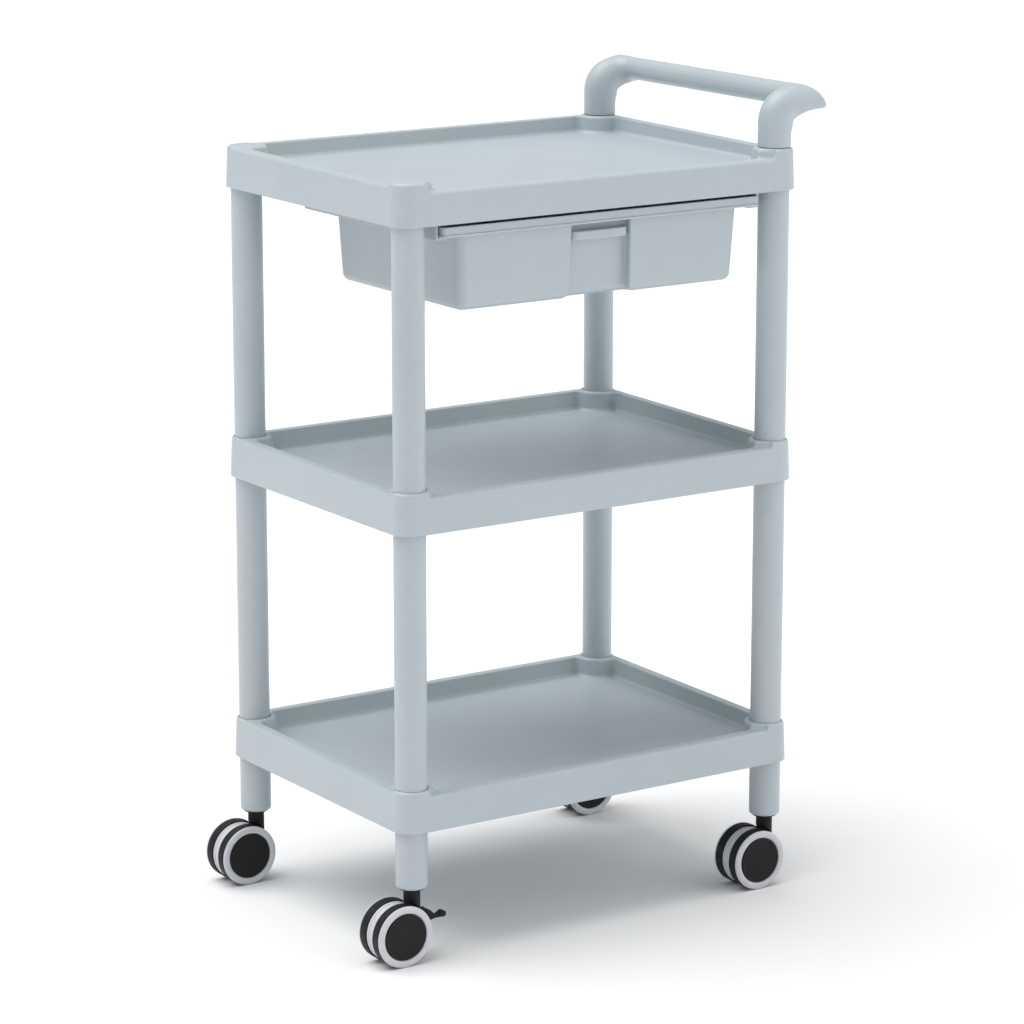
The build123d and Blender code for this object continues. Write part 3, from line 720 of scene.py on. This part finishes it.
def arc_points(start, middle, end, count=10):
    """Points on the circle through three points."""
    (ax, ay), (bx, by), (cx, cy) = start, middle, end
    d = 2 * (ax * (by - cy) + bx * (cy - ay) + cx * (ay - by))
    a2, b2, c2 = ax * ax + ay * ay, bx * bx + by * by, cx * cx + cy * cy
    centre = np.array([(a2 * (by - cy) + b2 * (cy - ay) + c2 * (ay - by)) / d,
                       (a2 * (cx - bx) + b2 * (ax - cx) + c2 * (bx - ax)) / d])
    angles = [math.atan2(p[1] - centre[1], p[0] - centre[0]) for p in (start, middle, end)]
    angles = np.unwrap(angles)
    radius = math.hypot(ax - centre[0], ay - centre[1])
    turn = np.linspace(angles[0], angles[-1], count)
    return [tuple(centre + radius * np.array([math.cos(a), math.sin(a)])) for a in turn]


def handle_outlines(rise, reach):
    """Side views of the grip, of an arm and of the web in its elbow, from the riser's foot."""
    tip = reach - 2.5 * MM
    nose = arc_points((34 * MM, rise), (56 * MM, 64 * MM), (tip, 48 * MM))
    nose += [(tip - 0.8 * MM, 45.2 * MM), (tip - 3.5 * MM, 44 * MM)]
    back = arc_points((39 * MM, 45.5 * MM), (21.5 * MM, 60 * MM), (34 * MM, rise))
    elbow = [(50 * MM, 43.5 * MM), (40 * MM, 42.0 * MM), (32 * MM, 39.2 * MM),
             (26.5 * MM, 35.5 * MM), (22.7 * MM, 31 * MM), (20.3 * MM, 22 * MM)]
    shoulder = [(20.6 * MM, -5 * MM), (-30 * MM, -5 * MM), (-30 * MM, rise - 5 * MM),
                (8 * MM, rise - 3.4 * MM), (20 * MM, rise - 1.8 * MM),
                (33 * MM, rise - 0.4 * MM)]
    web = [(0, 20 * MM)] + elbow[::-1] + [(50 * MM, 47 * MM), (0, 47 * MM)]
    return np.array(nose + back[:-1]), np.array(nose + elbow + shoulder), np.array(web)


def bent_tube(x, y, z):
    """Distance field of both risers: straight up, bent forwards, then level."""
    over = z > BEND_START
    level_off = np.abs(z - BEND_START - BEND_RADIUS)
    bend = np.abs(np.hypot(x - BEND_RADIUS, z - BEND_START) - BEND_RADIUS)
    path = np.where(over & (x <= BEND_RADIUS), bend,
                    np.where(over, level_off, np.minimum(np.abs(x), level_off)))
    return np.hypot(path, np.abs(y) - POST_Y) - RISER_RADIUS


def push_handle():
    """Two bent risers and a wing-shaped grip, moulded as one with soft fillets."""
    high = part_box("push_handle")[1]
    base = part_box("top_tray")[1].z
    rise = high.z - base
    axis_x = TRAY_X + POST_X
    reach = high.x - axis_x
    grip_side, arm_side, web_side = handle_outlines(rise, reach)
    step = 1.5 * MM
    margin = 2.3 * step
    corner = np.array([-RISER_RADIUS - margin, -POST_Y - RISER_RADIUS - margin, -margin])
    far = np.array([reach + margin, POST_Y + RISER_RADIUS + margin, rise + margin])
    x, y, z = grid(corner, far, step)
    arm_shape = polygon_distance(arm_side, x, z)
    web = soft_cut(polygon_distance(web_side, x, z),
                   np.abs(np.abs(y) - POST_Y) - WEB_HALF, WEB_ROUND)
    arm = soft_cut(soft_union(bent_tube(x, y, z), web, WEB_FILLET), arm_shape, 4 * MM)
    grip = soft_cut(polygon_distance(grip_side, x, z), np.abs(y) - POST_Y - GRIP_END, GRIP_ROUND)
    field = soft_cut(soft_union(arm, grip, GRIP_FILLET), arm_shape, 1.5 * MM)
    field = soft_cut(field, 0.3 * MM - z + 0 * x + 0 * y, 1.2 * MM)
    points, faces = skin(field, corner, step, relax=4)
    piece = new_object("handle_moulding", points + (axis_x, 0, base), faces)
    return finish_piece(piece, "cart_frame", ["push_handle"], "cart_plastic", CART, 60.0)


# ---- Drawer ------------------------------------------------------------------------------------
DRAFT = math.tan(math.radians(2.8))
DRAWER_WALL = 2.6 * MM
DRAWER_FILLET = 7.0 * MM                      # inside, round the floor
DRAWER_EDGE = 9.0 * MM                        # outside, round the bottom
FRONT_SETBACK = 9.0 * MM                      # rim's front to the body's front
SIDE_SETBACK = 25.0 * MM                      # rim's side to the body's side, over the rails
RECESS_HALF = 42.0 * MM
RECESS_DEPTH = 11.0 * MM
RECESS_FLARE = 2.0 * MM
FLANGE_THICK = 3.0 * MM
FLANGE_FILLET = 1.5 * MM
LIP_HEIGHT = 10.5 * MM
BEAD = 1.5 * MM                               # the flange's edge stands out below the lip
LIP_THICK = 2.2 * MM
LIP_PROUD = 1.8 * MM                          # soft edge of the lip, above the CAD lip


def drawer_outlines(low, high):
    """Two functions that give the body's and the rim's outline at a height and an inset."""
    under_flange = high.z - LIP_HEIGHT
    front, rear = low.y + FRONT_SETBACK, high.y - 6 * MM
    half = (high.x - low.x) / 2 - SIDE_SETBACK
    tall = under_flange - low.z

    def body(height, inset=0.0):
        lean = (under_flange - height) * DRAFT
        notch = RECESS_HALF + RECESS_FLARE * (under_flange - height) / tall
        side, y_front, y_back = half - lean, front + lean, rear - lean
        y_notch = y_front + RECESS_DEPTH
        corners = [(-side, y_front), (-notch, y_front), (-notch, y_notch), (notch, y_notch),
                   (notch, y_front), (side, y_front), (side, y_back), (-side, y_back)]
        radii = np.array([14, 2, 1.5, 1.5, 2, 14, 14, 14]) * MM
        return level(rounded(corners, radii, inset, 6), height)

    def rim(height, inset=0.0):
        side, y_front, y_back = high.x - TRAY_X, low.y, high.y
        marks = [-RECESS_HALF - 3 * MM, -RECESS_HALF + 5 * MM,
                 RECESS_HALF - 5 * MM, RECESS_HALF + 3 * MM]
        corners = [(-side, y_front), *[(m, y_front) for m in marks], (side, y_front),
                   (side, y_back), (-side, y_back)]
        radii = np.array([6, 2, 2, 2, 2, 6, 6, 6]) * MM
        return level(rounded(corners, radii, inset, 6), height)

    return body, rim


def drawer_flange(body, rim, under_flange, top):
    """The inside's upper edge, the flange, its upright lip and the bead under its edge."""
    flange_top = under_flange + FLANGE_THICK
    rings = []
    for inset, drop in edge_round(0.9 * MM, 3):
        ring = body(under_flange, DRAWER_WALL - inset)
        ring[:, 2] = flange_top - drop
        rings.append(ring)
    rings.append(rim(flange_top, BEAD + LIP_THICK + 0.5 * MM))
    rings.append(rim(flange_top + 0.5 * MM, BEAD + LIP_THICK))
    half = LIP_THICK / 2
    for turn in np.linspace(0, math.pi, 7):
        rings.append(rim(top - half * (1 - math.sin(turn)), BEAD + half * (1 + math.cos(turn))))
    rings.append(rim(under_flange + 2.6 * BEAD, BEAD))
    for turn in np.linspace(math.pi / 2, -math.pi / 2, 7):
        rings.append(rim(under_flange + BEAD * (1 + math.sin(turn)), BEAD * (1 - math.cos(turn))))
    return rings


def drawer():
    """Open box with a recessed front panel, a rim flange and a finger pull."""
    low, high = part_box("drawer")
    under_flange = high.z - LIP_HEIGHT
    body, rim = drawer_outlines(low, high)
    inside = [body(low.z + DRAWER_WALL + drop, DRAWER_WALL + inset)
              for inset, drop in edge_round(DRAWER_FILLET, 5)[::-1]]
    flange = drawer_flange(body, rim, under_flange, high.z + LIP_PROUD)
    outside = [body(under_flange - drop, -inset)
               for inset, drop in edge_round(FLANGE_FILLET, 3)[::-1]]
    outside += [body(low.z + drop, inset) for inset, drop in edge_round(DRAWER_EDGE, 7)]
    piece = new_object("drawer_moulding", *moved(loft(inside + flange + outside), (TRAY_X, 0, 0)))
    pull = finger_pull(low.y + FRONT_SETBACK, under_flange)
    combine(piece, [moved(pull, (TRAY_X, 0, 0))], "UNION")
    return finish_piece(piece, "drawer", ["drawer"], "cart_plastic", CART, 35.0)


def finger_pull(front, under_flange):
    """Ledge across the recess with round front corners and soft edges."""
    half = RECESS_HALF - 1.5 * MM
    top = under_flange - 10 * MM
    bottom = top - 11 * MM
    back = front + RECESS_DEPTH + 1.5 * MM
    corners = [(-half, front + 1 * MM), (0, front - 1 * MM), (half, front + 1 * MM),
               (half, back), (-half, back)]
    radii = [9 * MM, 380 * MM, 9 * MM, 0.4 * MM, 0.4 * MM]
    rings = [level(rounded(corners, radii, inset, 8), bottom + drop)
             for inset, drop in edge_round(2.4 * MM, 5)[::-1]]
    rings += [level(rounded(corners, radii, inset, 8), top - drop)
              for inset, drop in edge_round(1.5 * MM, 4)]
    return loft(rings)


# ---- Drawer rails and screws -------------------------------------------------------------------
def drawer_rails():
    """Channels under the top tray, with a closed back end."""
    thick, foot, edge = 3 * MM, 15 * MM, 0.4 * MM
    for side, name in ((-1, "drawer_rail_left"), (1, "drawer_rail_right")):
        low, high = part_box(name)
        width = high.x - low.x
        tall = high.z - low.z
        profile = np.array([(0, 0), (0, tall), (-width, tall), (-width, tall - thick),
                            (-thick, tall - thick), (-thick, thick), (-foot, thick), (-foot, 0)])
        rings = []
        for y, inset in ((low.y, edge), (low.y + edge, 0.0), (high.y - edge, 0.0),
                         (high.y, edge)):
            outline = rounded(profile, [0.8 * MM] * len(profile), inset, 3)
            rings.append(np.column_stack([outline[:, 0], np.full(len(outline), y), outline[:, 1]]))
        stop = bar((-foot, high.y - thick, edge), (-edge, high.y - 0.3 * MM, tall - edge))
        outer = high.x if side > 0 else low.x
        points, faces = merge([loft(rings), stop])
        points = points * (side, 1, 1) + (outer, 0, low.z)
        piece = new_object("channel_" + name, points, faces)
        finish_piece(piece, "cart_frame", [name], "cart_plastic", CART)


def screws():
    """Pan-head screws with a cross recess under both rails."""
    low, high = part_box("drawer_rail_screws")
    head, shank = 4.0 * MM, 1.9 * MM
    tall = high.z - low.z
    dome = np.array([(0, 0), (1.4, 0.05), (2.6, 0.3), (3.5, 0.9), (4.0, 1.9), (4.0, 2.4)]) * MM
    profile = [tuple(point) for point in dome] + [
        (shank, 2.4 * MM), (shank, tall - 1 * MM), (0, tall)]
    places = [(x, y, low.z) for x in (low.x + head, high.x - head)
              for y in np.linspace(low.y + head, high.y - head, 3)]
    cross = [bar((-wide, -deep, -MM), (wide, deep, 1.3 * MM), 0.1 * MM)
             for wide, deep in ((1.9 * MM, 0.35 * MM), (0.35 * MM, 1.9 * MM))]
    parts = [moved(turned(profile, 40), place) for place in places]
    piece = new_object("pan_head_screws", *merge(parts))
    cuts = [moved(arm, place) for place in places for arm in cross]
    combine(piece, cuts, "DIFFERENCE")
    finish_piece(piece, "cart_frame", ["drawer_rail_screws"], "steel", STEEL)


# ---- Casters -----------------------------------------------------------------------------------
JOINTS = {joint["name"]: joint for joint in frame["joints"]}


def from_stem(joint):
    """Where a joint lies from the front left caster's stem axis, as (x, z) in MM."""
    stem = JOINTS["swivel_front_left"]["pos_m"]
    place = JOINTS[joint]["pos_m"]
    return round((place[0] - stem[0]) / MM, 3), round(place[2] / MM, 3)


AXLE_X, AXLE_Z = from_stem("wheel_spin_front_left_a")
BRAKE_X, BRAKE_Z = from_stem("brake_front_left")
NECK_RADIUS = 10.2                            # the neck is drawn in MM
NECK_LOW, NECK_HIGH = 50.0, 89.0
NECK_REACH = 35.5                             # nearest to the axle, between the wheels
WHEEL_ROOM = 39.2                             # hollow that the wheels turn in


def laid(part, place, side=1):
    """A part turned about Z, laid along Y at a place; side -1 mirrors it to the -Y wheel."""
    points, faces = part
    points = np.column_stack([points[:, 0], side * points[:, 2], points[:, 1]])
    return points + np.asarray(place, float), faces


def soften(profile, radius=0.5 * MM, steps=3):
    """A closed (radius, height) profile with every corner rounded."""
    return rounded(np.array(profile), [radius] * len(profile), 0.0, steps)


def wheel_rim_profile():
    """Hub, web and both flanges of a wheel: (radius, way out from the caster's middle)."""
    return soften(np.array([
        (4.2, 2.9), (9.0, 2.9), (9.0, 10.5), (30.6, 10.5), (30.6, 2.9), (36.4, 2.9),
        (36.4, 7.1), (34.0, 7.1), (34.0, 20.7), (37.3, 20.7), (37.9, 21.3), (37.5, 22.6),
        (36.3, 23.6), (34.3, 24.2), (32.0, 24.2), (30.0, 23.6), (28.9, 22.3), (28.75, 20.4),
        (27.0, 20.4), (27.0, 13.5), (9.0, 13.5), (9.0, 19.4), (4.2, 19.4)]) * MM, 0.2 * MM, 2)


def tread_profile():
    """Tyre band with rounded shoulders."""
    return rounded(np.array([(34.0, 7.15), (38.0, 7.15), (38.0, 20.65), (34.0, 20.65)]) * MM,
                   [0.2 * MM, 1.3 * MM, 1.3 * MM, 0.2 * MM], 0.0, 5)


def cap_profile():
    """Cover disc, slightly dished inside a narrow raised edge."""
    return np.array([(28.0, 20.4), (28.6, 21.0), (28.6, 22.9), (28.3, 23.4), (27.6, 23.75),
                     (26.7, 23.85), (26.1, 23.7), (25.6, 23.45), (24.8, 23.35), (18.0, 23.5),
                     (9.0, 23.6)]) * MM


def guard_profile():
    """Thread guard disc with a shallow groove round it."""
    return soften(np.array([(4.0, -2.7), (36.0, -2.7), (36.0, -0.5), (35.8, 0.0), (36.0, 0.5),
                            (36.0, 2.7), (4.0, 2.7)]) * MM, 0.15 * MM, 2)


def block(x, y, z, centre, half):
    """Distance field of a box."""
    return np.maximum(np.abs(x - centre[0]) - half[0], np.maximum(
        np.abs(y - centre[1]) - half[1], np.abs(z - centre[2]) - half[2]))


def neck_field(braked):
    """Swivelling neck that hugs the wheels, drawn about the stem axis and the floor, in MM."""
    low, high, step = (-13, -13, 44), (24.5, 13, 91.5), 0.6
    x, y, z = grid(low, high, step)
    middle, half = (NECK_LOW + NECK_HIGH) / 2, (NECK_HIGH - NECK_LOW) / 2
    across = np.hypot(x, y)
    field = soft_cut(across - NECK_RADIUS, np.abs(z - middle) - half + 0 * across, 1.6)
    if braked:
        cheeks = block(x, y, z, (11, 0, 55), (10.5, 9.2, 5.0))
        field = soft_union(field, cheeks, 2.0)
        slot = block(x, y, z, (43.1, 0, 50), (30, 6.9, 30))   # open ahead, for the lever
        field = soft_cut(field, -slot, 0.8)
    axle = np.hypot(x - AXLE_X, z - AXLE_Z)
    for side in (-1, 1):
        wheel = np.maximum(axle - WHEEL_ROOM, 2.6 - side * y)
        field = soft_cut(field, -wheel, 0.9)
    field = soft_cut(field, NECK_REACH - axle + 0 * y, 0.6)
    return skin(field, low, step, relax=3)


# Side view of the brake lever, from the stem axis and the floor, in MM
LEVER_OUTLINE = np.array([
    (14.0, 53.5), (15.0, 50.0), (17.0, 45.8), (21.0, 44.5), (25.0, 46.0), (31.0, 46.8),
    (37.5, 46.7), (42.0, 46.3), (45.2, 47.8), (46.0, 50.5), (44.4, 53.1), (41.2, 53.7),
    (37.8, 51.9), (34.0, 50.2), (29.2, 52.9), (25.0, 56.5), (22.0, 59.0), (17.7, 60.2),
    (14.0, 59.5)])


def smooth_outline(points, count=4):
    """A closed outline eased through its points by a Catmull-Rom curve."""
    eased = []
    total = len(points)
    for i in range(total):
        a, b, c, d = (points[(i + k) % total] for k in (-1, 0, 1, 2))
        for t in np.linspace(0, 1, count, endpoint=False):
            eased.append(0.5 * (2 * b + (c - a) * t + (2 * a - 5 * b + 4 * c - d) * t ** 2
                                + (3 * b - a - 3 * c + d) * t ** 3))
    return np.array(eased)


def drawn_in(outline, inset):
    """A smooth counter-clockwise outline moved inwards along its own normals."""
    along = np.roll(outline, -1, 0) - np.roll(outline, 1, 0)
    along /= np.linalg.norm(along, axis=1)[:, None]
    return outline + inset * np.column_stack([-along[:, 1], along[:, 0]])


def brake_lever():
    """Wavy foot lever with rounded edges, its trunnions and the cross shoe, about the stem axis."""
    outline = smooth_outline(LEVER_OUTLINE) * MM
    half = 5.0 * MM
    edge = edge_round(1.2 * MM, 4)
    rings = []
    for side, rounds in ((-1, edge[::-1]), (1, edge)):
        for inset, drop in rounds:
            ring = drawn_in(outline, inset)
            y = np.full(len(ring), side * (half - drop))
            rings.append(np.column_stack([ring[:, 0], y, ring[:, 1]]))
    pin = turned([(0, -8.8 * MM), (2.2 * MM, -8.8 * MM), (2.2 * MM, 8.8 * MM), (0, 8.8 * MM)], 32)
    shoe = turned(tube_profile(-9 * MM, 9 * MM, 2 * MM, 0.8 * MM, 0.8 * MM), 32)
    return merge([loft(rings), laid(pin, (BRAKE_X * MM, 0, BRAKE_Z * MM)),
                  laid(shoe, (19 * MM, 0, 47.3 * MM))])


def casters():
    """Four twin-wheel casters, each round its own stem axis."""
    wheel = (("rim", turned_ring(wheel_rim_profile(), 128), "wheel_grey_plastic", GREY),
             ("tread", turned_ring(tread_profile(), 128), "tread_rubber", TREAD),
             ("cap", turned(cap_profile(), 128), "caster_black_plastic", BLACK))
    guard = turned_ring(guard_profile(), 128)
    lever = brake_lever()
    necks = {braked: neck_field(braked) for braked in (False, True)}
    for corner in CORNERS:
        swivel = JOINTS[f"swivel_{corner}"]["pos_m"]
        axle = JOINTS[f"wheel_spin_{corner}_a"]["pos_m"]
        stem = (swivel[0], swivel[1], 0)
        braked = corner in BRAKED
        points, faces = necks[braked]
        piece = new_object(f"neck_{corner}", points * MM + stem, faces)
        finish_piece(piece, f"caster_{corner}", [f"caster_neck_{corner}"],
                     "caster_black_plastic", BLACK, 50.0)
        piece = new_object(f"guard_{corner}", *laid(guard, axle))
        finish_piece(piece, f"caster_{corner}", [f"thread_guard_{corner}"],
                     "wheel_grey_plastic", GREY)
        if braked:
            piece = new_object(f"lever_{corner}", *moved(lever, stem))
            finish_piece(piece, f"brake_lever_{corner}", [f"brake_lever_{corner}"],
                         "caster_black_plastic", BLACK)
        for letter, side in (("a", -1), ("b", 1)):
            body = f"wheel_{corner}_{letter}"
            for kind, part, slot, material in wheel:
                piece = new_object(f"{kind}_{corner}_{letter}", *laid(part, axle, side))
                finish_piece(piece, body, [f"wheel_{kind}_{corner}_{letter}"], slot, material)


def caster_sockets():
    """Plug flanges that show as a thin black line under each leg."""
    low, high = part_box("caster_sockets")
    parts = []
    for corner in CORNERS:
        swivel = JOINTS[f"swivel_{corner}"]["pos_m"]
        profile = [(0, low.z), (15.2 * MM, low.z), (15.8 * MM, low.z + 0.5 * MM),
                   (15.8 * MM, low.z + 1.6 * MM), (14.3 * MM, low.z + 1.7 * MM),
                   (14.3 * MM, high.z), (0, high.z)]
        parts.append(moved(turned(profile, 64), (swivel[0], swivel[1], 0)))
    piece = new_object("socket_plugs", *merge(parts))
    finish_piece(piece, "cart_frame", ["caster_sockets"], "caster_black_plastic", BLACK)


def steel_parts():
    """The CAD stems and axles keep their shape and get plated steel."""
    for name, node in frame["nodes"].items():
        if name.startswith("axle_") or name == "caster_stems":
            node.data.materials.clear()
            node.data.materials.append(STEEL)


# ---- Stage -------------------------------------------------------------------------------------
def stage():
    """Pale floor and soft light: a high key from the left and a lower fill from the right."""
    half = 30.0
    floor = new_object("floor", [(-half, -half, 0), (half, -half, 0), (half, half, 0),
                                 (-half, half, 0)], [(0, 1, 2, 3)])
    n = Nodes("pale_floor")
    n.link(n.mix(n.noise(3.0, 4.0), (0.90, 0.90, 0.90), (0.88, 0.88, 0.88)),
           n.shader.inputs["Base Color"])
    n.shader.inputs["Roughness"].default_value = 0.9
    n.shader.inputs["Specular IOR Level"].default_value = 0.1
    floor.data.materials.append(n.material)
    for name, strength, wide, aim in (("key", 2.4, 60, (21, 0, -124)),
                                      ("fill", 0.85, 70, (60, 0, 56))):
        light = bpy.data.lights.new(name, "SUN")
        light.energy = strength
        light.angle = math.radians(wide)
        lamp = bpy.data.objects.new(name, light)
        lamp.rotation_euler = Euler([math.radians(a) for a in aim])
        bpy.context.scene.collection.objects.link(lamp)
    world = bpy.data.worlds.new("studio")
    world.use_nodes = True
    world.node_tree.nodes["Background"].inputs["Color"].default_value = (0.98, 0.99, 1.0, 1.0)
    world.node_tree.nodes["Background"].inputs["Strength"].default_value = 0.5
    bpy.context.scene.world = world
    bpy.context.scene.view_settings.view_transform = "Standard"


def camera():
    """Long lens, left of the drawer front by a third of a quarter turn, looking a little down."""
    azimuth, elevation = math.radians(-33.604), math.radians(13.152)
    distance = 4.8365
    across = Vector((math.cos(azimuth), math.sin(azimuth), 0))
    back = Vector((math.sin(azimuth) * math.cos(elevation),
                   -math.cos(azimuth) * math.cos(elevation), math.sin(elevation)))
    target = Vector((TRAY_X, 0, 0.4795)) + 0.0031 * across
    lens = bpy.data.cameras.new("camera")
    lens.sensor_width = 36.0
    lens.lens = 136.52
    lens.clip_end = 200.0
    view = bpy.data.objects.new("camera", lens)
    view.location = target + distance * back
    view.rotation_euler = back.to_track_quat("Z", "Y").to_euler()
    bpy.context.scene.collection.objects.link(view)
    bpy.context.scene.camera = view


trays()
uprights()
push_handle()
drawer()
drawer_rails()
screws()
casters()
caster_sockets()
steel_parts()
stage()
camera()
